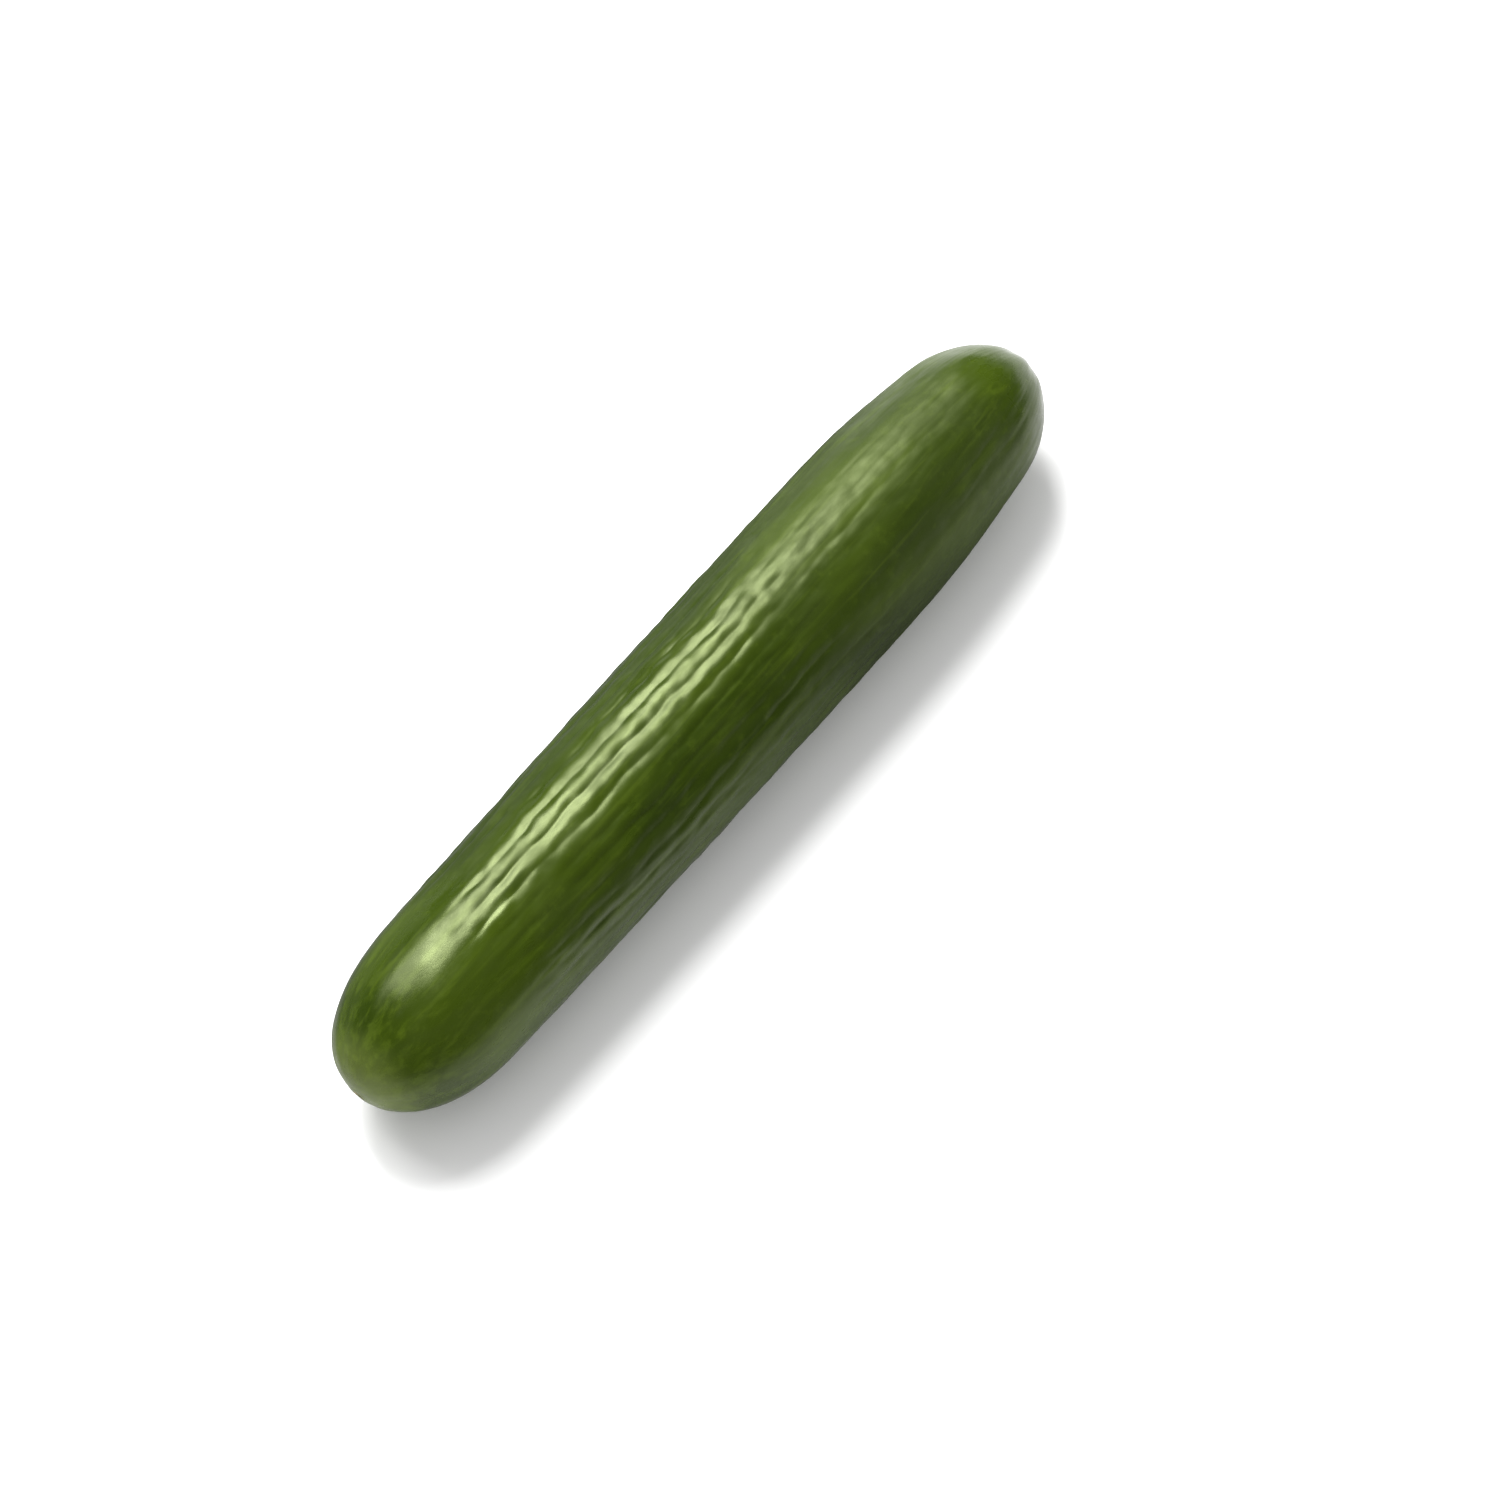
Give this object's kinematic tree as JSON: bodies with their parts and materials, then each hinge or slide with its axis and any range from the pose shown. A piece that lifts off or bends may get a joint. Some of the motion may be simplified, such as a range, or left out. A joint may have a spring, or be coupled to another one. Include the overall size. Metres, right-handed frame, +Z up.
{
  "type": "mini cucumber",
  "caption": "Whole fresh mini cucumber with glossy dark green skin, a blunt blossom end and a short stub of stalk, lying on its side.",
  "frame": {"origin": "middle of the footprint, on the surface that the fruit lies on", "axes": "+X along the fruit from its blossom end to its stalk end, +Z up from the surface, +Y across the fruit"},
  "size_m": [0.1704, 0.031, 0.0297],
  "materials": {
    "skin": "dark green waxy skin with faint lengthwise ribs and paler streaks, paler at the blossom end",
    "stalk": "dull pale green stalk tissue with a dry tan broken end"
  },
  "bodies": {
    "root": {"fruit": "skin", "stalk": "stalk"}
  },
  "joints": []
}
